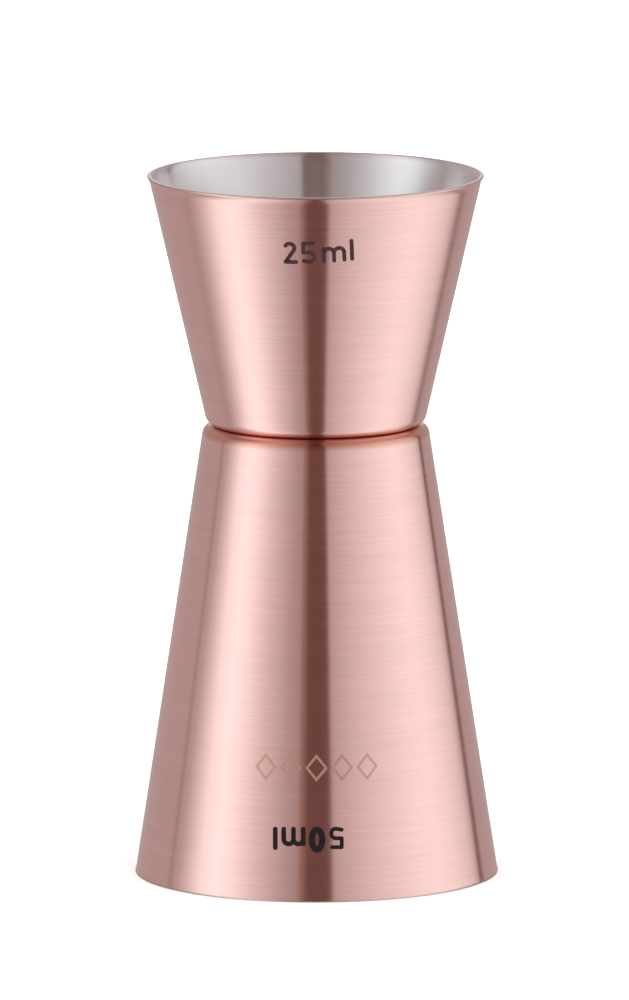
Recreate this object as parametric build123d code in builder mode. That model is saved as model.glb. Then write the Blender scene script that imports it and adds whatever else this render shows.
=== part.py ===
"""Double-ended bar jigger: a 25 ml cup standing on an inverted 50 ml cup.

Two thin conical cups, each drawn from one sheet of stainless steel, meet at their flat bases.
Spot welds between the bases hold them together, and each cup carries its capacity in dark ink.
The jigger stands on the wide brim of the 50 ml cup, and turns over to stand on the other.

Millimetres. +Z is up along the common axis, the origin is at the centre of the lower brim,
and the capacity figures face -Y.
"""

import math
import os

from build123d import *

# Sheet that both cups are drawn from
sheet = 0.5
rim_edge_r = 0.12  # deburred edges of both brims
lip_height = 0.95  # end of a wall that turns outward

# 50 ml cup, mouth down; diameters are outside, where the straight wall meets the brim and the base
lower_mouth_d = 44.0
lower_base_d = 27.2
lower_height = 54.9
lower_corner_r = 1.2
lower_lip_flare = 0.08

# 25 ml cup, mouth up
upper_mouth_d = 40.4
upper_base_d = 26.3
upper_height = 30.4
upper_corner_r = 1.45
upper_lip_flare = 0.29

# Spot welds between the two flat bases
weld_count = 4
weld_edge_distance = 5.6  # from a weld's middle to the edge of the flat
nugget_d = 3.0
weld_cover = 0.2  # steel left over a nugget on either side
dimple_d = 3.6  # shallow dish that the electrode leaves in each floor
dimple_depth = 0.06

# Capacity figures, printed on the outside of each wall
ink = 0.04
fine_pen = 0.47  # width of a stroke
bold_pen = 0.56
heavy_pen = 0.74
upper_digit_height = 2.82
lower_digit_height = 2.7
digit_width = 1.74
nought_height = 3.1
nought_width = 2.0
m_width = 2.92
upper_m_height = 2.05
lower_m_height = 2.35
l_height = 2.8
glyph_gap = 0.46
upper_unit_gap = 0.68  # between the digits and ml
lower_unit_gap = 0.38
mark_reach = 2.0  # deeper than the wall curves away across the figures

# Shapes of the figures: radii and rises as shares of a figure's height or width, turns in degrees
two_bowl = 0.2
two_start = 150
two_tail = -38
five_bowl = 0.215
five_sweep = 190
five_flag = 0.94
five_foot = 0.05
nought_end = 0.7

# Where the figures stand: height of their middle, sideways shift and turn
upper_mark_below_brim = 6.8
upper_mark_shift = 0.35
upper_mark_turn = 2.2
lower_mark_above_brim = 7.68
lower_mark_shift = -1.0

waist_z = lower_height
top_z = lower_height + upper_height
upper_lean = math.degrees(math.atan2((upper_mouth_d - upper_base_d) / 2, upper_height))
lower_lean = math.degrees(math.atan2((lower_mouth_d - lower_base_d) / 2, lower_height))


def flat_radius(base_d, corner_r, lean):
    """Outer radius of the flat part of a base, inside its rounded corner."""
    return base_d / 2 - corner_r * math.tan(math.radians(90 - lean) / 2)


flat_r = min(
    flat_radius(upper_base_d, upper_corner_r, upper_lean),
    flat_radius(lower_base_d, lower_corner_r, lower_lean),
)
weld_circle_r = flat_r - weld_edge_distance


def wall_radius(base_d, mouth_d, height, from_brim):
    """Outside radius of a cup's straight wall at a distance from its brim along the axis."""
    return mouth_d / 2 - (mouth_d - base_d) / 2 * from_brim / height


def cup_outline(base_d, base_z, mouth_d, mouth_z, lip_flare):
    """Half of a solid cup's outline: base, straight wall, lip that turns outward, mouth."""
    height = mouth_z - base_z
    lip_r = wall_radius(base_d, mouth_d, abs(height), lip_height)
    lip_start = (lip_r, mouth_z - math.copysign(lip_height, height))
    brim = (mouth_d / 2 + lip_flare, mouth_z)
    Polyline((0, mouth_z), (0, base_z), (base_d / 2, base_z), lip_start)
    TangentArc(lip_start, brim, tangent=((mouth_d - base_d) / 2, height))
    Line(brim, (0, mouth_z))


def lens(diameter, depth):
    """A lens with both faces domed by depth, lying flat about the origin."""
    dome_r = ((diameter / 2) ** 2 + depth**2) / (2 * depth)
    half_angle = math.degrees(math.asin(diameter / 2 / dome_r))
    with BuildPart() as body:
        with BuildSketch(Plane.XZ):
            with BuildLine():
                CenterArc((0, dome_r - depth), dome_r, -90, half_angle)
                CenterArc((0, depth - dome_r), dome_r, 90, -half_angle)
                Line((0, -depth), (0, depth))
            make_face()
        revolve(axis=Axis.Z)
    return body.part


def straight(start, end, pen):
    """A round-ended pen stroke between two points."""
    with BuildLine() as path:
        Line(start, end)
    SlotArc(path.wires()[0], pen)


def bow(center, radius, start_angle, arc_size, pen):
    """A round-ended pen stroke along a circular arc."""
    with BuildLine() as path:
        CenterArc(center, radius, start_angle, arc_size)
    SlotArc(path.wires()[0], pen)


def two(width, height, pen):
    low, high, right = pen / 2, height - pen / 2, width - pen / 2
    bowl_r = two_bowl * height
    center = (low + bowl_r, high - bowl_r)
    tail = math.radians(two_tail)
    tail_start = (center[0] + bowl_r * math.cos(tail), center[1] + bowl_r * math.sin(tail))
    bow(center, bowl_r, two_start, two_tail - two_start, pen)
    straight(tail_start, (low, low), pen)
    straight((low, low), (right, low), pen)


def five(width, height, pen):
    low, high, right = pen / 2, height - pen / 2, width - pen / 2
    bowl_r = five_bowl * height
    center = (right - bowl_r, low + bowl_r)
    straight((five_flag * width - pen / 2, high), (low, high), pen)
    straight((low, high), (low, low + 2 * bowl_r), pen)
    straight((low, low + 2 * bowl_r), (center[0], low + 2 * bowl_r), pen)
    bow(center, bowl_r, 90, -five_sweep, pen)
    straight((center[0], low), (low, low + five_foot * height), pen)


def nought(width, height, pen):
    """An oval of four arcs, with flatter sides between its rounded ends."""
    half_w, half_h = (width - pen) / 2, (height - pen) / 2
    end_r = nought_end * half_w
    end_rise = half_h - end_r
    side_r = (half_w**2 + end_rise**2 - end_r**2) / (2 * (half_w - end_r))
    turn = math.degrees(math.atan2(end_rise, side_r - half_w))
    for side, start in ((1, 0), (-1, 180)):
        side_center = (width / 2 + side * (half_w - side_r), height / 2)
        end_center = (width / 2, height / 2 + side * end_rise)
        bow(side_center, side_r, start - turn, 2 * turn, pen)
        bow(end_center, end_r, start + turn, 180 - 2 * turn, pen)


def letter_m(width, height, pen):
    low, high = pen / 2, height - pen / 2
    arch_r = (width - pen) / 4
    straight((low, low), (low, high), pen)
    for left in (low, low + 2 * arch_r):
        right = left + 2 * arch_r
        bow((left + arch_r, high - arch_r), arch_r, 180, -180, pen)
        straight((right, high - arch_r), (right, low), pen)


def letter_l(width, height, pen):
    straight((width / 2, pen / 2), (width / 2, height - pen / 2), pen)


# Each glyph's shape, width, height and pen
upper_figures = [
    (two, digit_width, upper_digit_height, fine_pen),
    (five, digit_width, upper_digit_height, fine_pen),
    (letter_m, m_width, upper_m_height, fine_pen),
    (letter_l, fine_pen, l_height, fine_pen),
]
lower_figures = [
    (five, digit_width, lower_digit_height, fine_pen),
    (nought, nought_width, nought_height, heavy_pen),
    (letter_m, m_width, lower_m_height, bold_pen),
    (letter_l, bold_pen, l_height, bold_pen),
]


def write(glyphs, unit_gap):
    """Two digits and ml on one baseline, with the first digit's middle level with the sketch's origin."""
    gaps = (glyph_gap, unit_gap, glyph_gap, 0)
    left = -(sum(width for _, width, _, _ in glyphs) + sum(gaps)) / 2
    baseline = -glyphs[0][2] / 2
    for (draw, width, height, pen), gap in zip(glyphs, gaps):
        with Locations((left, baseline)):
            draw(width, height, pen)
        left += width + gap


def ink_skin(base_d, base_z, mouth_d, mouth_z):
    """Section of an ink-thick skin over the outside of a cup's straight wall."""
    lean = math.atan2((mouth_d - base_d) / 2, abs(mouth_z - base_z))
    out = ink / math.cos(lean)
    Polyline(
        (base_d / 2, base_z),
        (mouth_d / 2, mouth_z),
        (mouth_d / 2 + out, mouth_z),
        (base_d / 2 + out, base_z),
        close=True,
    )


nugget = lens(nugget_d, sheet - weld_cover)
dimple = lens(dimple_d, dimple_depth)

# 50 ml cup, drawn as a closed body and hollowed to the sheet's thickness
with BuildPart() as lower_cup:
    with BuildSketch(Plane.XZ):
        with BuildLine():
            cup_outline(lower_base_d, waist_z, lower_mouth_d, 0, lower_lip_flare)
        make_face()
    revolve(axis=Axis.Z)
    fillet(lower_cup.edges().filter_by(GeomType.CIRCLE).sort_by(Axis.Z)[-1], lower_corner_r)
    lower_outside = lower_cup.part.volume
    offset(amount=-sheet, openings=lower_cup.faces().sort_by(Axis.Z)[0])
    lower_capacity = lower_outside - lower_cup.part.volume
    brim = lower_cup.edges().filter_by(GeomType.CIRCLE).group_by(Axis.Z)[0]
    fillet(brim, min(rim_edge_r, 0.4 * sheet))
    with Locations((0, 0, waist_z)):
        with PolarLocations(weld_circle_r, weld_count):
            add(nugget, mode=Mode.SUBTRACT)
    with Locations((0, 0, waist_z - sheet)):
        with PolarLocations(weld_circle_r, weld_count):
            add(dimple, mode=Mode.SUBTRACT)
lower_cup.part.label = "lower_cup"

# 25 ml cup
with BuildPart() as upper_cup:
    with BuildSketch(Plane.XZ):
        with BuildLine():
            cup_outline(upper_base_d, waist_z, upper_mouth_d, top_z, upper_lip_flare)
        make_face()
    revolve(axis=Axis.Z)
    fillet(upper_cup.edges().filter_by(GeomType.CIRCLE).sort_by(Axis.Z)[0], upper_corner_r)
    upper_outside = upper_cup.part.volume
    offset(amount=-sheet, openings=upper_cup.faces().sort_by(Axis.Z)[-1])
    upper_capacity = upper_outside - upper_cup.part.volume
    brim = upper_cup.edges().filter_by(GeomType.CIRCLE).group_by(Axis.Z)[-1]
    fillet(brim, min(rim_edge_r, 0.4 * sheet))
    with Locations((0, 0, waist_z)):
        with PolarLocations(weld_circle_r, weld_count):
            add(nugget, mode=Mode.SUBTRACT)
    with Locations((0, 0, waist_z + sheet)):
        with PolarLocations(weld_circle_r, weld_count):
            add(dimple, mode=Mode.SUBTRACT)
upper_cup.part.label = "upper_cup"

# Weld nuggets, half in each base
with BuildPart() as spot_welds:
    with Locations((0, 0, waist_z)):
        with PolarLocations(weld_circle_r, weld_count):
            add(nugget)
spot_welds.part.label = "spot_welds"

# Figures on the 25 ml cup, upright while this cup is on top
upper_mark_r = wall_radius(upper_base_d, upper_mouth_d, upper_height, upper_mark_below_brim)
upper_tilt = math.radians(upper_lean)
upper_mark_plane = Plane(
    origin=(upper_mark_shift, -upper_mark_r, top_z - upper_mark_below_brim),
    x_dir=(1, 0, 0),
    z_dir=(0, -math.cos(upper_tilt), -math.sin(upper_tilt)),
)
with BuildPart() as mark_25ml:
    with BuildSketch(Plane(upper_mark_plane.location * Rotation(0, 0, upper_mark_turn))):
        write(upper_figures, upper_unit_gap)
    extrude(amount=mark_reach, both=True)
    with BuildSketch(Plane.XZ):
        with BuildLine():
            ink_skin(upper_base_d, waist_z, upper_mouth_d, top_z)
        make_face()
    revolve(axis=Axis.Z, mode=Mode.INTERSECT)
mark_25ml.part.label = "mark_25ml"

# Figures on the 50 ml cup, upright once the jigger is turned over
lower_mark_r = wall_radius(lower_base_d, lower_mouth_d, lower_height, lower_mark_above_brim)
lower_tilt = math.radians(lower_lean)
lower_mark_plane = Plane(
    origin=(lower_mark_shift, -lower_mark_r, lower_mark_above_brim),
    x_dir=(-1, 0, 0),
    z_dir=(0, -math.cos(lower_tilt), math.sin(lower_tilt)),
)
with BuildPart() as mark_50ml:
    with BuildSketch(lower_mark_plane):
        write(lower_figures, lower_unit_gap)
    extrude(amount=mark_reach, both=True)
    with BuildSketch(Plane.XZ):
        with BuildLine():
            ink_skin(lower_base_d, waist_z, lower_mouth_d, 0)
        make_face()
    revolve(axis=Axis.Z, mode=Mode.INTERSECT)
mark_50ml.part.label = "mark_50ml"

os.makedirs("parts", exist_ok=True)
for piece in (lower_cup, upper_cup, spot_welds, mark_25ml, mark_50ml):
    export_step(piece.part, f"parts/{piece.part.label}.step")
    print(piece.part.label, len(piece.part.solids()), "solids", round(piece.part.volume, 3), "mm3")
print(f"upper cup holds {upper_capacity / 1000:.2f} ml to the brim")
print(f"lower cup holds {lower_capacity / 1000:.2f} ml to the brim")
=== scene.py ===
"""Bar jigger: two drawn cups with copper plate outside and bare steel inside, on a white sweep."""

import math

import bpy
from bpy.props import FloatProperty, FloatVectorProperty, IntProperty, PointerProperty
from bpy.types import Operator, Panel, PropertyGroup
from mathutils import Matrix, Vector


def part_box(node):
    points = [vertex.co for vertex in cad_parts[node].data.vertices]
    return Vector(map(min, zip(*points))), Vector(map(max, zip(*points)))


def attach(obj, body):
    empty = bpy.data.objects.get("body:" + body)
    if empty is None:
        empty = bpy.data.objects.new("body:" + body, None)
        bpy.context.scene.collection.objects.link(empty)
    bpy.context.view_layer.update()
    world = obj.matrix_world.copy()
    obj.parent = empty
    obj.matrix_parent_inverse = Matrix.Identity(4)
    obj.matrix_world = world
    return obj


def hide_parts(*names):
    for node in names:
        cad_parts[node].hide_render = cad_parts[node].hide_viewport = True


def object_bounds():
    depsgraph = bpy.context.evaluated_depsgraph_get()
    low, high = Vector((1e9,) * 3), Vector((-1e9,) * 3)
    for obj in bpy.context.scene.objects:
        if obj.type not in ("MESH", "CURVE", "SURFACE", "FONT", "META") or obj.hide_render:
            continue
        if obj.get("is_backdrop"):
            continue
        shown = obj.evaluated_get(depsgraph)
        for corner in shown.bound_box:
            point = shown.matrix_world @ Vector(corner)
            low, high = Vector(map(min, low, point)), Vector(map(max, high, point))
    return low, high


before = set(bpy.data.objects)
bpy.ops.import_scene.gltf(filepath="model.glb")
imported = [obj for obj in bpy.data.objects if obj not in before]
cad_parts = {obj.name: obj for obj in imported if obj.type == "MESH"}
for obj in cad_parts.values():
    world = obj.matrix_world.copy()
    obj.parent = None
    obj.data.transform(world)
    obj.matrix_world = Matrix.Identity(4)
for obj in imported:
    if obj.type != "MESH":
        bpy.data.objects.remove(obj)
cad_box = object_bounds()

bl_info = {
    "name": "Bar Jigger",
    "version": (1, 0, 0),
    "blender": (4, 5, 0),
    "location": "3D View > Sidebar > Jigger",
    "description": "Builds a 25/50 ml bar jigger with its finishes, and a studio to show it in",
    "category": "Add Mesh",
}

MM = 0.001

# Points closer together than this are one point
SAME_PLACE = 0.001 * MM

# Faces of a cup, by material slot
INSIDE, BRIM, OUTSIDE = 0, 1, 2

# Fineness of the meshes: faces round a cup, and along each stretch of its section
CUP_SEGMENTS = 384
FLOOR_STEPS = 70
INNER_CORNER_STEPS = 14
OUTER_CORNER_STEPS = 20
WALL_STEPS = 24
LIP_STEPS = 8
EDGE_STEPS = 6
BASE_STEPS = 6

# Values that a noise texture seldom goes past
NOISE_LOW, NOISE_HIGH = 0.3, 0.7


def length(name, description, default_mm):
    """Length property, with its default in millimetres."""
    return FloatProperty(
        name=name,
        description=description,
        default=default_mm * MM,
        min=0,
        precision=5,
        subtype="DISTANCE",
        unit="LENGTH",
    )


def color(name, description, default):
    """Linear colour property."""
    return FloatVectorProperty(
        name=name, description=description, default=default, size=3, min=0, max=1, subtype="COLOR"
    )


def share(name, description, default):
    """Property that runs from 0 to 1."""
    return FloatProperty(
        name=name, description=description, default=default, min=0, max=1, subtype="FACTOR"
    )


def angle(name, description, default_degrees):
    """Angle property, with its default in degrees."""
    return FloatProperty(
        name=name,
        description=description,
        default=math.radians(default_degrees),
        subtype="ANGLE",
        unit="ROTATION",
    )


class JiggerSizes(PropertyGroup):
    """Sizes of the sheet metal; heights come from the frame."""

    sheet: length("Sheet", "Thickness of the sheet both cups are drawn from", 0.5)
    brim_edge: length("Brim Edge", "Radius of the deburred edges of a brim", 0.12)
    lip: length("Lip", "End of a wall that turns outward", 0.95)
    upper_mouth: length("Upper Mouth", "Outside width of the 25 ml cup's straight wall at its mouth", 40.4)
    upper_base: length("Upper Base", "Outside width of the 25 ml cup's straight wall at its base", 26.3)
    upper_corner: length("Upper Corner", "Radius between base and wall of the 25 ml cup", 1.45)
    upper_flare: length("Upper Flare", "How far the 25 ml cup's lip turns outward", 0.29)
    lower_mouth: length("Lower Mouth", "Outside width of the 50 ml cup's straight wall at its mouth", 44.0)
    lower_base: length("Lower Base", "Outside width of the 50 ml cup's straight wall at its base", 27.2)
    lower_corner: length("Lower Corner", "Radius between base and wall of the 50 ml cup", 1.2)
    lower_flare: length("Lower Flare", "How far the 50 ml cup's lip turns outward", 0.08)
    weld_count: IntProperty(name="Welds", description="Spot welds between the bases", default=4, min=1)
    weld_inset: length("Weld Inset", "From a weld's middle to the edge of the flat base", 5.6)
    dimple: length("Dimple", "Width of the dish that an electrode leaves in a floor", 3.6)
    dimple_depth: length("Dimple Depth", "Depth of that dish", 0.06)
    lozenge_count: IntProperty(name="Lozenges", description="Engraved lozenges in the row", default=5, min=1)
    lozenge_width: length("Lozenge Width", "Width of one engraved lozenge", 2.7)
    lozenge_height: length("Lozenge Height", "Height of one engraved lozenge", 3.3)
    lozenge_pitch: length("Lozenge Pitch", "From one lozenge's middle to the next", 3.1)
    lozenge_rise: length("Lozenge Rise", "Height of the row above the lower brim", 16.0)
    engraving_line: length("Engraving Line", "Width of an engraved line", 0.3)


class JiggerFinish(PropertyGroup):
    """Colours and surface of the metals and the ink, and the painted shade below the waist."""

    copper: color("Copper", "Reflected colour of the copper plate", (0.93, 0.62, 0.58))
    steel: color("Steel", "Reflected colour of the bare steel inside", (0.76, 0.735, 0.755))
    steel_scatter: share("Steel Scatter", "Part of the light that the bare steel scatters every way", 0.1)
    brim: color("Brim", "Reflected colour of the polished brims", (0.74, 0.58, 0.54))
    # The shoulder tint is painted shade and a painted reddish reflection of the upper cup. It is laid on the
    # lower cup's plate from the waist down as far as the reach below.
    shoulder_painted_shade: color("Shoulder", "Tint of the plate that no brush reaches, at the waist", (0.86, 0.66, 0.57))
    shoulder_painted_shade_reach: length("Shoulder Reach", "How far below the waist the plate is darker", 1.12)
    engraving: color("Engraving", "Reflected colour of the roughened engraving", (0.93, 0.56, 0.49))
    weld: color("Weld", "Reflected colour of a weld nugget", (0.45, 0.44, 0.43))
    thin_ink: color("Thin Ink", "Colour of the 25 ml figures", (0.05, 0.026, 0.026))
    heavy_ink: color("Heavy Ink", "Colour of the 50 ml figures", (0.012, 0.009, 0.014))
    brush_roughness: share("Brushed Roughness", "Roughness of the brushed walls", 0.2)
    brush_anisotropy: share("Brushed Anisotropy", "How much the brushing stretches highlights", 1.0)


class JiggerStudio(PropertyGroup):
    """Camera, light and floor."""

    camera_distance: length("Camera Distance", "From the jigger's axis to the camera, along the floor", 1967)
    camera_height: length("Camera Height", "Height of the camera over the floor", 359.7)
    camera_side: length("Camera Side", "How far the camera stands to the left of the axis", 0.18)
    camera_pitch: angle("Camera Pitch", "How far the camera looks down", 9.075)
    camera_roll: angle("Camera Roll", "Sideways tilt of the camera", 0.1)
    camera_lens: FloatProperty(
        name="Lens", description="Focal length of the camera", default=591.9, min=1, unit="CAMERA"
    )
    gap: color("Gap", "Colour of the dark gap between the two soft lights", (0.165, 0.087, 0.077))
    gap_side: color("Gap Side", "Colour of the gap's lighter left edge", (0.29, 0.18, 0.145))
    ceiling: color("Ceiling", "Light from overhead, as a share of the light all round", (0.56, 0.43, 0.39))
    floor: color("Floor", "Colour of the floor and its sweep", (0.87, 0.9, 0.905))
    overhead: FloatProperty(
        name="Overhead", description="Strength of the overhead light", default=30.0, min=0, unit="POWER"
    )


# Sections and meshes


def height_of(node):
    """Height of a node of the frame."""
    low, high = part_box(node)
    return high.z - low.z


def arc(center, radius, start, end, steps):
    """Points on an arc about center, from one angle to another, both ends included."""
    found = []
    for step in range(steps + 1):
        turn = start + (end - start) * step / steps
        found.append(center + radius * Vector((math.cos(turn), math.sin(turn))))
    return found


def run(start, end, steps, margin=0.05 * MM):
    """Points along a straight stretch, with one close to each end that holds its shading flat."""
    direction = (end - start).normalized()
    inner_start, inner_end = start + direction * margin, end - direction * margin
    between = [inner_start.lerp(inner_end, step / steps) for step in range(steps + 1)]
    return [start, *between, end]


def wall_lean(base, mouth, height):
    """Angle between a cup's straight wall and its axis."""
    return math.atan2(mouth - base, height)


def flat_radius(base, mouth, corner, height):
    """Radius of the flat part of a cup's base, inside its rounded corner."""
    lean = wall_lean(base, mouth, height)
    return base - corner * math.tan((math.pi / 2 - lean) / 2)


def cup_section(base, mouth, corner, height, flare, sheet, edge, lip):
    """Half of a cup's section: points (radius, distance from the base), and the surface between each two.

    It starts in the middle of the floor inside, goes over the brim, and ends in the middle of the base.
    base and mouth are the radii of the straight wall."""
    lean = wall_lean(base, mouth, height)
    outward = Vector((math.cos(lean), -math.sin(lean)))
    along = Vector((math.sin(lean), math.cos(lean)))
    flat = flat_radius(base, mouth, corner, height)
    corner_center = Vector((flat, corner))
    lip_start = Vector((mouth - lip * math.tan(lean), height - lip))
    chord = Vector((mouth + flare, height)) - lip_start
    lip_turn = chord.angle(along)
    lip_radius = chord.length / (2 * math.sin(lip_turn))
    lip_center = lip_start + outward * lip_radius

    def lean_at(radius, level):
        """How far the lip leans where an arc of this radius reaches a level."""
        return math.asin((level - lip_center.y) / radius)

    inner_radius = lip_radius + sheet
    inner_lean = lean_at(inner_radius, height)
    outer_lean = lean + 2 * lip_turn
    inner_drop = edge * (1 - math.sin(inner_lean))
    outer_drop = edge * (1 + math.sin(outer_lean))
    inner_mouth = lip_center.x - inner_radius * math.cos(inner_lean)
    inner_edge = Vector((inner_mouth + inner_drop / math.cos(inner_lean), height - edge))
    outer_edge = Vector((mouth + flare - outer_drop / math.cos(outer_lean), height - edge))
    inner_top = math.pi - lean_at(inner_radius, height - inner_drop)
    outer_top = math.pi - lean_at(lip_radius, height - outer_drop)
    lip_base = math.pi - lean
    down, up = -math.pi / 2, math.pi / 2
    inner_bend, outer_bend = outward * (corner - sheet), outward * corner

    stretches = [
        (INSIDE, run(Vector((0, sheet)), Vector((flat, sheet)), FLOOR_STEPS)),
        (INSIDE, arc(corner_center, corner - sheet, down, -lean, INNER_CORNER_STEPS)),
        (INSIDE, run(corner_center + inner_bend, lip_start - outward * sheet, WALL_STEPS)),
        (INSIDE, arc(lip_center, inner_radius, lip_base, inner_top, LIP_STEPS)),
        (BRIM, arc(inner_edge, edge, math.pi - inner_lean, up, EDGE_STEPS)),
        (BRIM, arc(outer_edge, edge, up, -outer_lean, EDGE_STEPS)),
        (OUTSIDE, arc(lip_center, lip_radius, outer_top, lip_base, LIP_STEPS)),
        (OUTSIDE, run(lip_start, corner_center + outer_bend, WALL_STEPS)),
        (OUTSIDE, arc(corner_center, corner, -lean, down, OUTER_CORNER_STEPS)),
        (OUTSIDE, run(Vector((flat, 0)), Vector((0, 0)), BASE_STEPS)),
    ]
    points, surfaces = [], []
    for surface, stretch in stretches:
        for point in stretch:
            if points and (point - points[-1]).length < SAME_PLACE:
                continue
            if points:
                surfaces.append(surface)
            points.append(point)
    return points, surfaces


def spin(name, points, surfaces, materials, place):
    """Closed mesh object from a section turned round Z.

    place gives the vertex for a point's radius and distance and the turn."""
    vertices, polygons, slots = [], [], []
    rings = []
    for radius, distance in points:
        count = 1 if radius < SAME_PLACE else CUP_SEGMENTS
        first = len(vertices)
        rings.append([first + index % count for index in range(CUP_SEGMENTS + 1)])
        for index in range(count):
            vertices.append(place(radius, distance, 2 * math.pi * index / CUP_SEGMENTS))
    for lower, upper, surface in zip(rings, rings[1:], surfaces):
        for index in range(CUP_SEGMENTS):
            corners = [lower[index], lower[index + 1], upper[index + 1], upper[index]]
            polygons.append(list(dict.fromkeys(corners)))
            slots.append(surface)
    return mesh_object(name, vertices, polygons, materials, slots)


def mesh_object(name, vertices, polygons, materials, slots=None):
    """Smooth mesh object with its faces turned outward; slots gives each face's place in materials."""
    mesh = bpy.data.meshes.new(name)
    mesh.from_pydata(vertices, [], polygons)
    for material in materials:
        mesh.materials.append(material)
    if slots:
        mesh.polygons.foreach_set("material_index", slots)
    mesh.polygons.foreach_set("use_smooth", [True] * len(polygons))
    made = bpy.data.objects.new(name, mesh)
    bpy.context.scene.collection.objects.link(made)
    turn_outward(mesh)
    return made


def turn_outward(mesh):
    """Flip all faces if the closed mesh encloses a negative volume."""
    mesh.calc_loop_triangles()
    volume = 0.0
    for triangle in mesh.loop_triangles:
        a, b, c = (mesh.vertices[index].co for index in triangle.vertices)
        volume += a.dot(b.cross(c))
    if volume < 0:
        mesh.flip_normals()
    mesh.update()


def dish_depth(radius, width, depth):
    """Depth of a round dish at a distance from its middle."""
    if radius >= width / 2:
        return 0.0
    dome = ((width / 2) ** 2 + depth**2) / (2 * depth)
    return math.sqrt(dome**2 - radius**2) - (dome - depth)


# Materials


def put(tree, kind, inputs=None, **settings):
    """Add a node with its settings, and link or set its inputs."""
    made = tree.nodes.new(kind)
    for name, value in settings.items():
        setattr(made, name, value)
    for socket, value in (inputs or {}).items():
        if isinstance(value, bpy.types.NodeSocket):
            tree.links.new(value, made.inputs[socket])
        else:
            made.inputs[socket].default_value = value
    return made


def math_node(tree, operation, *values):
    """Output of a math node with these inputs."""
    return put(tree, "ShaderNodeMath", dict(enumerate(values)), operation=operation).outputs[0]


def new_material(name):
    """Material with an empty node tree, and that tree."""
    material = bpy.data.materials.new(name)
    material.use_nodes = True
    material.node_tree.nodes.clear()
    return material, material.node_tree


def set_surface(tree, kind, inputs):
    """Add a shader and make it the material's surface."""
    shader = put(tree, kind, inputs)
    put(tree, "ShaderNodeOutputMaterial", {"Surface": shader.outputs[0]})


def grain(tree, scale, detail=3.0):
    """Even noise, with about scale specks to the metre."""
    place = put(tree, "ShaderNodeTexCoord").outputs["Object"]
    settings = {"Vector": place, "Scale": scale, "Detail": detail}
    return put(tree, "ShaderNodeTexNoise", settings).outputs["Fac"]


def brushing(tree, around, along, detail=3.0):
    """Noise drawn out round the axis.

    around sets how often a line breaks, and along how many lines there are to the metre."""
    place = put(tree, "ShaderNodeTexCoord").outputs["Object"]
    parts = put(tree, "ShaderNodeSeparateXYZ", {0: place}).outputs
    level = put(tree, "ShaderNodeCombineXYZ", {0: parts["X"], 1: parts["Y"]}).outputs[0]
    radius = put(tree, "ShaderNodeVectorMath", {0: level}, operation="LENGTH").outputs["Value"]
    direction = put(tree, "ShaderNodeVectorMath", {0: level}, operation="NORMALIZE").outputs[0]
    line = math_node(tree, "MULTIPLY", math_node(tree, "ADD", parts["Z"], radius), along)
    turned = put(
        tree, "ShaderNodeVectorMath", {0: direction, "Scale": around}, operation="SCALE"
    ).outputs[0]
    stacked = put(tree, "ShaderNodeCombineXYZ", {2: line}).outputs[0]
    vector = put(tree, "ShaderNodeVectorMath", {0: turned, 1: stacked}, operation="ADD").outputs[0]
    settings = {"Vector": vector, "Scale": 1.0, "Detail": detail, "Roughness": 0.6}
    return put(tree, "ShaderNodeTexNoise", settings).outputs["Fac"]


def spread(tree, noise, low, high):
    """Noise spread between two levels."""
    limits = {"From Min": NOISE_LOW, "From Max": NOISE_HIGH, "To Min": low, "To Max": high}
    return put(tree, "ShaderNodeMapRange", {"Value": noise, **limits}).outputs[0]


def shade(tree, noise, low, high, tint):
    """Tint that noise varies from low to high times itself."""
    level = spread(tree, noise, low, high)
    return put(
        tree, "ShaderNodeVectorMath", {0: tuple(tint), "Scale": level}, operation="SCALE"
    ).outputs[0]


def ramp_up(tree, value, low, high):
    """Factor that goes from 0 to 1 as a value goes from low to high."""
    return put(tree, "ShaderNodeMapRange", {"Value": value, "From Min": low, "From Max": high}).outputs[0]


def multiplied(tree, factor, base, tint):
    """Colour multiplied by a tint as far as the factor says."""
    return put(
        tree,
        "ShaderNodeMix",
        {0: factor, 6: base, 7: (*tint, 1)},
        data_type="RGBA",
        blend_type="MULTIPLY",
    ).outputs[2]


def darkened_above(tree, base, level, tint, blend=0.25 * MM):
    """Colour that is multiplied by a tint above a level, with a soft edge."""
    place = put(tree, "ShaderNodeTexCoord").outputs["Object"]
    rise = put(tree, "ShaderNodeSeparateXYZ", {0: place}).outputs["Z"]
    return multiplied(tree, ramp_up(tree, rise, level - blend, level + blend), base, tint)


def brushed_metal(name, tint, finish, scatter=0.0, contrast=0.055, painted_shade_above=None):
    """Metal brushed round the axis, with fine lines over broader bands.

    Above a given height, if there is one, the colour is multiplied by the shoulder tint: painted shade and a
    painted reddish reflection of the upper cup where the cups meet."""
    material, tree = new_material(name)
    fine = brushing(tree, around=1.6, along=5200.0, detail=2.0)
    broad = brushing(tree, around=0.8, along=900.0, detail=2.0)
    fine_share = 0.65
    lines = math_node(
        tree,
        "ADD",
        math_node(tree, "MULTIPLY", fine, fine_share),
        math_node(tree, "MULTIPLY", broad, 1 - fine_share),
    )
    base = shade(tree, lines, 1 - contrast, 1 + contrast, tint)
    # Painted shade and painted reflection of the upper cup, multiplied into the colour above the given
    # height by the waist
    if painted_shade_above is not None:
        base = darkened_above(tree, base, painted_shade_above, finish.shoulder_painted_shade)
    rough, rough_range = finish.brush_roughness, 0.03
    groove = {"Height": fine, "Strength": 0.3, "Distance": 0.02 * MM}
    quarter_turn = 0.25
    set_surface(
        tree,
        "ShaderNodeBsdfPrincipled",
        {
            "Base Color": base,
            "Metallic": 1 - scatter,
            "Roughness": spread(tree, lines, rough - rough_range, rough + rough_range),
            "Anisotropic": finish.brush_anisotropy,
            "Anisotropic Rotation": quarter_turn,
            "Tangent": put(tree, "ShaderNodeTangent", direction_type="RADIAL", axis="Z").outputs[0],
            "Normal": put(tree, "ShaderNodeBump", groove).outputs[0],
        },
    )
    return material


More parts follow.
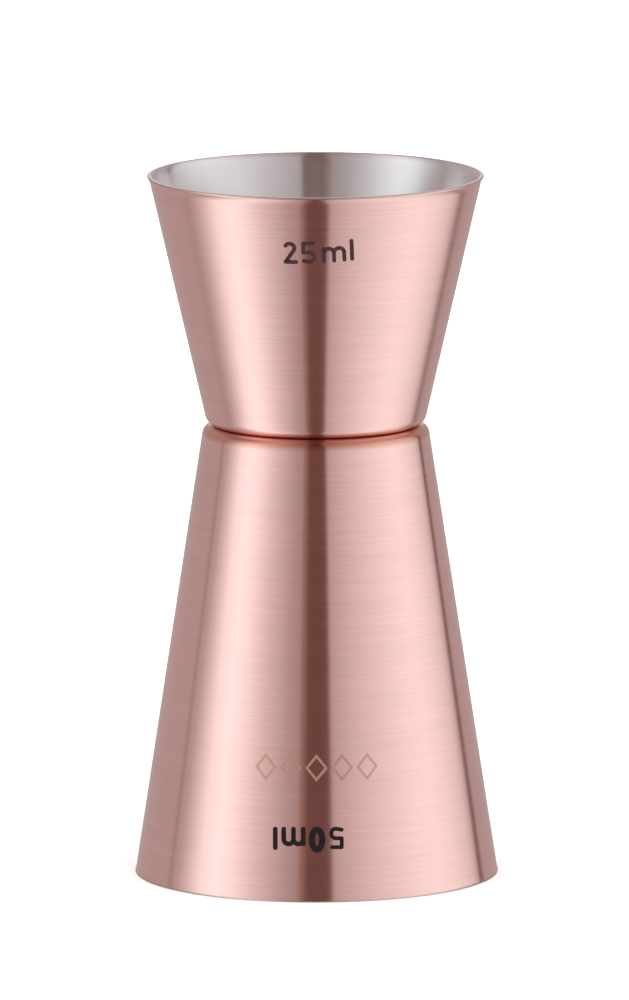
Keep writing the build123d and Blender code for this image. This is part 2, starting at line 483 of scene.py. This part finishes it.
def polished_brim(finish):
    """Deburred brim: tumbled smooth, with the plate thinning towards the steel."""
    material, tree = new_material("polished_brim")
    wear = brushing(tree, around=30.0, along=2000.0)
    set_surface(
        tree,
        "ShaderNodeBsdfPrincipled",
        {
            "Base Color": shade(tree, wear, 0.94, 1.04, finish.brim),
            "Metallic": 1.0,
            "Roughness": spread(tree, wear, 0.25, 0.4),
        },
    )
    return material


def engraved_copper(finish):
    """Plate that an engraver has roughened, so it scatters light every way."""
    material, tree = new_material("engraved_copper")
    pits = grain(tree, 9000.0)
    set_surface(
        tree,
        "ShaderNodeBsdfPrincipled",
        {
            "Base Color": shade(tree, pits, 0.86, 1.0, finish.engraving),
            "Metallic": 1.0,
            "Roughness": spread(tree, pits, 0.5, 0.65),
        },
    )
    return material


def marking_ink(name, tint):
    """Dark matt ink, slightly uneven where it was pressed on."""
    material, tree = new_material(name)
    blot = grain(tree, 2500.0)
    set_surface(
        tree,
        "ShaderNodeBsdfPrincipled",
        {
            "Base Color": shade(tree, blot, 0.6, 1.5, tint),
            "Roughness": spread(tree, blot, 0.55, 0.75),
            "Specular IOR Level": 0.2,
        },
    )
    return material


def weld_steel(finish):
    """Cast-looking steel of a weld nugget."""
    material, tree = new_material("weld_steel")
    lumps = grain(tree, 3000.0, detail=4.0)
    set_surface(
        tree,
        "ShaderNodeBsdfPrincipled",
        {
            "Base Color": shade(tree, lumps, 0.8, 1.1, finish.weld),
            "Metallic": 1.0,
            "Roughness": spread(tree, lumps, 0.35, 0.6),
        },
    )
    return material


def dress(node, material):
    """Give a node of the frame this material in place of its own."""
    node.data.materials.clear()
    node.data.materials.append(material)


# Operators


class JIGGER_OT_spin_cups(Operator):
    """Spin both cups from their sections, plated outside and bare inside"""

    bl_idname = "jigger.spin_cups"
    bl_label = "Spin Cups"

    def execute(self, context):
        sizes, finish = context.scene.jigger_sizes, context.scene.jigger_finish
        steel = brushed_metal("bare_steel", finish.steel, finish, scatter=finish.steel_scatter)
        brim = polished_brim(finish)
        upper_copper = brushed_metal("upper_copper", finish.copper, finish)
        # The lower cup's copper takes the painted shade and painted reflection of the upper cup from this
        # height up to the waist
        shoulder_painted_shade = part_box("lower_cup")[1].z - finish.shoulder_painted_shade_reach
        lower_copper = brushed_metal("lower_copper", finish.copper, finish, painted_shade_above=shoulder_painted_shade)
        upper_shape = sizes.upper_base / 2, sizes.upper_mouth / 2, sizes.upper_corner, height_of("upper_cup")
        lower_shape = sizes.lower_base / 2, sizes.lower_mouth / 2, sizes.lower_corner, height_of("lower_cup")
        common = sizes.sheet, sizes.brim_edge, sizes.lip
        upper_section = cup_section(*upper_shape, sizes.upper_flare, *common)
        lower_section = cup_section(*lower_shape, sizes.lower_flare, *common)
        weld_circle = min(flat_radius(*upper_shape), flat_radius(*lower_shape)) - sizes.weld_inset
        self.spin_cup(sizes, "upper_cup", 1, upper_section, weld_circle, (steel, brim, upper_copper))
        self.spin_cup(sizes, "lower_cup", -1, lower_section, weld_circle, (steel, brim, lower_copper))
        return {"FINISHED"}

    def spin_cup(self, sizes, node, upward, section, weld_circle, materials):
        """Spin one cup; upward is 1 with its mouth at the top and -1 with its mouth at the bottom."""
        low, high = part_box(node)
        waist = low.z if upward > 0 else high.z

        def place(radius, distance, turn):
            x, y = radius * math.cos(turn), radius * math.sin(turn)
            if abs(distance - sizes.sheet) < SAME_PLACE:
                distance -= self.dimple_at(sizes, weld_circle, x, y)
            return x, y, waist + upward * distance

        cup = spin(f"{node}_shell", *section, materials, place)
        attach(cup, "root")
        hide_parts(node)

    @staticmethod
    def dimple_at(sizes, weld_circle, x, y):
        """Depth of the electrode dishes at a point of a floor."""
        depth = 0.0
        for index in range(sizes.weld_count):
            turn = 2 * math.pi * index / sizes.weld_count
            away = math.hypot(x - weld_circle * math.cos(turn), y - weld_circle * math.sin(turn))
            depth = max(depth, dish_depth(away, sizes.dimple, sizes.dimple_depth))
        return depth


class JIGGER_OT_ink_figures(Operator):
    """Ink the capacity figures on both cups"""

    bl_idname = "jigger.ink_figures"
    bl_label = "Ink Figures"

    def execute(self, context):
        finish = context.scene.jigger_finish
        dress(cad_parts["mark_25ml"], marking_ink("thin_ink", finish.thin_ink))
        dress(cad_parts["mark_50ml"], marking_ink("heavy_ink", finish.heavy_ink))
        return {"FINISHED"}


class JIGGER_OT_finish_welds(Operator):
    """Give the spot welds between the bases their steel"""

    bl_idname = "jigger.finish_welds"
    bl_label = "Finish Spot Welds"

    def execute(self, context):
        dress(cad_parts["spot_welds"], weld_steel(context.scene.jigger_finish))
        return {"FINISHED"}


class JIGGER_OT_engrave_lozenges(Operator):
    """Engrave a row of plain lozenges round the front of the 50 ml cup"""

    bl_idname = "jigger.engrave_lozenges"
    bl_label = "Engrave Lozenges"

    # How far a line's faces stand above and below the wall, and the points along a lozenge's side
    proud = 0.012 * MM
    sunk = 0.04 * MM
    side_steps = 6

    def execute(self, context):
        sizes = context.scene.jigger_sizes
        slope = (sizes.lower_mouth - sizes.lower_base) / 2 / height_of("lower_cup")
        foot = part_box("lower_cup")[0].z

        def place(across, rise, out):
            """Point of the wall at a distance across the front and a height, moved outward."""
            radius = sizes.lower_mouth / 2 - slope * rise
            turn = across / radius
            return (radius + out) * math.sin(turn), -(radius + out) * math.cos(turn), foot + rise

        vertices, polygons = [], []
        for index in range(sizes.lozenge_count):
            middle = (index - (sizes.lozenge_count - 1) / 2) * sizes.lozenge_pitch
            self.add_lozenge(sizes, middle, place, vertices, polygons)
        copper = engraved_copper(context.scene.jigger_finish)
        row = mesh_object("engraved_lozenges", vertices, polygons, [copper])
        row.data.polygons.foreach_set("use_smooth", [False] * len(polygons))
        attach(row, "root")
        return {"FINISHED"}

    def add_lozenge(self, sizes, middle, place, vertices, polygons):
        """Add one closed lozenge outline that lies on the wall."""
        half_w, half_h = sizes.lozenge_width / 2, sizes.lozenge_height / 2
        inner = 1 - sizes.engraving_line * math.hypot(half_w, half_h) / (half_w * half_h)
        tips = [Vector(tip) for tip in ((half_w, 0), (0, half_h), (-half_w, 0), (0, -half_h))]
        outline = []
        for tip, following in zip(tips, tips[1:] + tips[:1]):
            for step in range(self.side_steps):
                outline.append(tip.lerp(following, step / self.side_steps))
        first, count = len(vertices), len(outline)
        loops = ((1, self.proud), (inner, self.proud), (inner, -self.sunk), (1, -self.sunk))
        for scale, out in loops:
            for point in outline:
                across, rise = middle + point.x * scale, sizes.lozenge_rise + point.y * scale
                vertices.append(place(across, rise, out))
        for loop in range(len(loops)):
            start, end = first + loop * count, first + (loop + 1) % len(loops) * count
            for step in range(count):
                following = (step + 1) % count
                polygons.append([start + step, start + following, end + following, end + step])


class JIGGER_OT_set_stage(Operator):
    """Set the floor, the soft light and the camera"""

    bl_idname = "jigger.set_stage"
    bl_label = "Set Stage"

    # Brightness seen round the jigger, by direction in degrees from the camera's side towards +X:
    # a soft light on each side of a dark gap, both ending in a dark frame, and a pale backdrop
    surround = (
        (-180, 1.0),
        (-177, 1.0),
        (-174, 0.46),
        (-110.5, 0.47),
        (-109, 0.36),
        (-107, 0.36),
        (-105.5, 0.48),
        (-100, 0.54),
        (-92, 0.76),
        (-80, 1.14),
        (-68, 1.27),
        (-56, 1.09),
        (-40, 0.77),
        (-20, 0.48),
        (-12, 0.42),
        (-11, "gap_side"),
        (-8.5, "gap_side"),
        (-7, "gap"),
        (9.5, "gap"),
        (10.5, 0.53),
        (30, 0.73),
        (50, 0.9),
        (70, 1.05),
        (85, 1.1),
        (100, 1.02),
        (118, 0.82),
        (126, 0.6),
        (128, 0.2),
        (132, 0.2),
        (134, 0.46),
        (174, 0.46),
        (177, 1.0),
    )

    # Red, green and blue fall off by these powers, so dimmer light is warmer
    dimming = (1.0, 1.2, 1.22)

    # Light counts as overhead from the first of these heights of its direction to the second
    ceiling_from, ceiling_to = 0.45, 0.8

    # The overhead softbox, and the floor: flat as far as its bend, which sweeps up into a wall
    softbox_width, softbox_place = 1.4, (0, 0.1, 1.3)
    floor_flat, floor_bend, floor_wall = 4.0, 0.5, 1.0
    floor_segments, floor_bend_steps = 96, 12

    def execute(self, context):
        studio = context.scene.jigger_studio
        self.set_light(context.scene, studio)
        self.set_floor(studio)
        self.set_camera(context.scene, studio)
        context.scene.view_settings.view_transform = "Standard"
        return {"FINISHED"}

    def set_light(self, scene, studio):
        """Surround of soft lights, which the metal shows, and a softbox that only lights the floor."""
        world = bpy.data.worlds.new("studio")
        world.use_nodes = True
        tree = world.node_tree
        tree.nodes.clear()
        direction = put(tree, "ShaderNodeTexCoord").outputs["Generated"]
        parts = put(tree, "ShaderNodeSeparateXYZ", {0: direction}).outputs
        forward = math_node(tree, "MULTIPLY", parts["Y"], -1.0)
        turn = math_node(tree, "ARCTAN2", parts["X"], forward)
        ring = put(tree, "ShaderNodeValToRGB", {0: ramp_up(tree, turn, -math.pi, math.pi)})
        ramp = ring.color_ramp
        ramp.interpolation = "LINEAR"
        while len(ramp.elements) < len(self.surround):
            ramp.elements.new(1.0)
        for element, (degrees, level) in zip(ramp.elements, self.surround):
            element.position = (degrees + 180) / 360
            if isinstance(level, str):
                tone = getattr(studio, level)
            else:
                tone = [level**power for power in self.dimming]
            element.color = (*tone, 1)
        overhead = ramp_up(tree, parts["Z"], self.ceiling_from, self.ceiling_to)
        light = multiplied(tree, overhead, ring.outputs["Color"], studio.ceiling)
        background = put(tree, "ShaderNodeBackground", {"Color": light, "Strength": 1.0})
        put(tree, "ShaderNodeOutputWorld", {"Surface": background.outputs[0]})
        scene.world = world

        softbox = bpy.data.lights.new("overhead_softbox", "AREA")
        softbox.shape, softbox.size, softbox.energy = "DISK", self.softbox_width, studio.overhead
        lamp = bpy.data.objects.new("overhead_softbox", softbox)
        lamp.location = self.softbox_place
        lamp.visible_glossy = False
        scene.collection.objects.link(lamp)

    def set_floor(self, studio):
        """Round floor that sweeps up into a low wall, all of it matt."""
        flat, bend, steps = self.floor_flat, self.floor_bend, self.floor_segments
        section = [Vector((flat / 8, 0)), Vector((flat / 2, 0))]
        section += arc(Vector((flat, bend)), bend, -math.pi / 2, 0, self.floor_bend_steps)
        section.append(Vector((flat + bend, bend + self.floor_wall)))
        vertices, polygons = [(0, 0, 0)], []
        for radius, height in section:
            for index in range(steps):
                turn = 2 * math.pi * index / steps
                vertices.append((radius * math.cos(turn), radius * math.sin(turn), height))
        for index in range(steps):
            polygons.append([0, 1 + index, 1 + (index + 1) % steps])
        for ring in range(len(section) - 1):
            start = 1 + ring * steps
            for index in range(steps):
                following = (index + 1) % steps
                polygons.append(
                    [start + index, start + steps + index, start + steps + following, start + following]
                )
        material, tree = new_material("matt_paper")
        paper = shade(tree, grain(tree, 400.0, detail=2.0), 0.995, 1.005, studio.floor)
        set_surface(tree, "ShaderNodeBsdfDiffuse", {"Color": paper, "Roughness": 1.0})
        floor = mesh_object("studio_floor", vertices, polygons, [material])
        floor.visible_glossy = False
        floor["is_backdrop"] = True

    def set_camera(self, scene, studio):
        """Camera in front of the jigger, which looks slightly down at it."""
        data = bpy.data.cameras.new("camera")
        data.lens = studio.camera_lens
        camera = bpy.data.objects.new("camera", data)
        camera.location = (-studio.camera_side, -studio.camera_distance, studio.camera_height)
        camera.rotation_mode = "ZXY"
        camera.rotation_euler = (math.pi / 2 - studio.camera_pitch, 0, -studio.camera_roll)
        data.clip_start, data.clip_end = 0.1, 20
        scene.collection.objects.link(camera)
        scene.camera = camera


class JIGGER_PT_build(Panel):
    """Steps and settings of the jigger"""

    bl_idname = "JIGGER_PT_build"
    bl_label = "Bar Jigger"
    bl_space_type = "VIEW_3D"
    bl_region_type = "UI"
    bl_category = "Jigger"

    def draw(self, context):
        for step in STEPS:
            self.layout.operator(step.bl_idname)
        for group in (context.scene.jigger_sizes, context.scene.jigger_finish, context.scene.jigger_studio):
            box = self.layout.box()
            for name in group.__annotations__:
                box.prop(group, name)


SETTINGS = {"jigger_sizes": JiggerSizes, "jigger_finish": JiggerFinish, "jigger_studio": JiggerStudio}
STEPS = (
    JIGGER_OT_spin_cups,
    JIGGER_OT_ink_figures,
    JIGGER_OT_finish_welds,
    JIGGER_OT_engrave_lozenges,
    JIGGER_OT_set_stage,
)


def register():
    for cls in (*SETTINGS.values(), *STEPS, JIGGER_PT_build):
        bpy.utils.register_class(cls)
    for name, cls in SETTINGS.items():
        setattr(bpy.types.Scene, name, PointerProperty(type=cls))


def unregister():
    for name in SETTINGS:
        delattr(bpy.types.Scene, name)
    for cls in reversed((*SETTINGS.values(), *STEPS, JIGGER_PT_build)):
        bpy.utils.unregister_class(cls)


def main():
    """Run every step, then work out the CAD model's box and the visual model's."""
    register()
    bpy.ops.jigger.spin_cups()
    bpy.ops.jigger.ink_figures()
    bpy.ops.jigger.finish_welds()
    bpy.ops.jigger.engrave_lozenges()
    bpy.ops.jigger.set_stage()
    boxes = {"cad": cad_box, "visual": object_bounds()}
    {name: [list(corner) for corner in box] for name, box in boxes.items()}


if __name__ == "__main__":
    main()
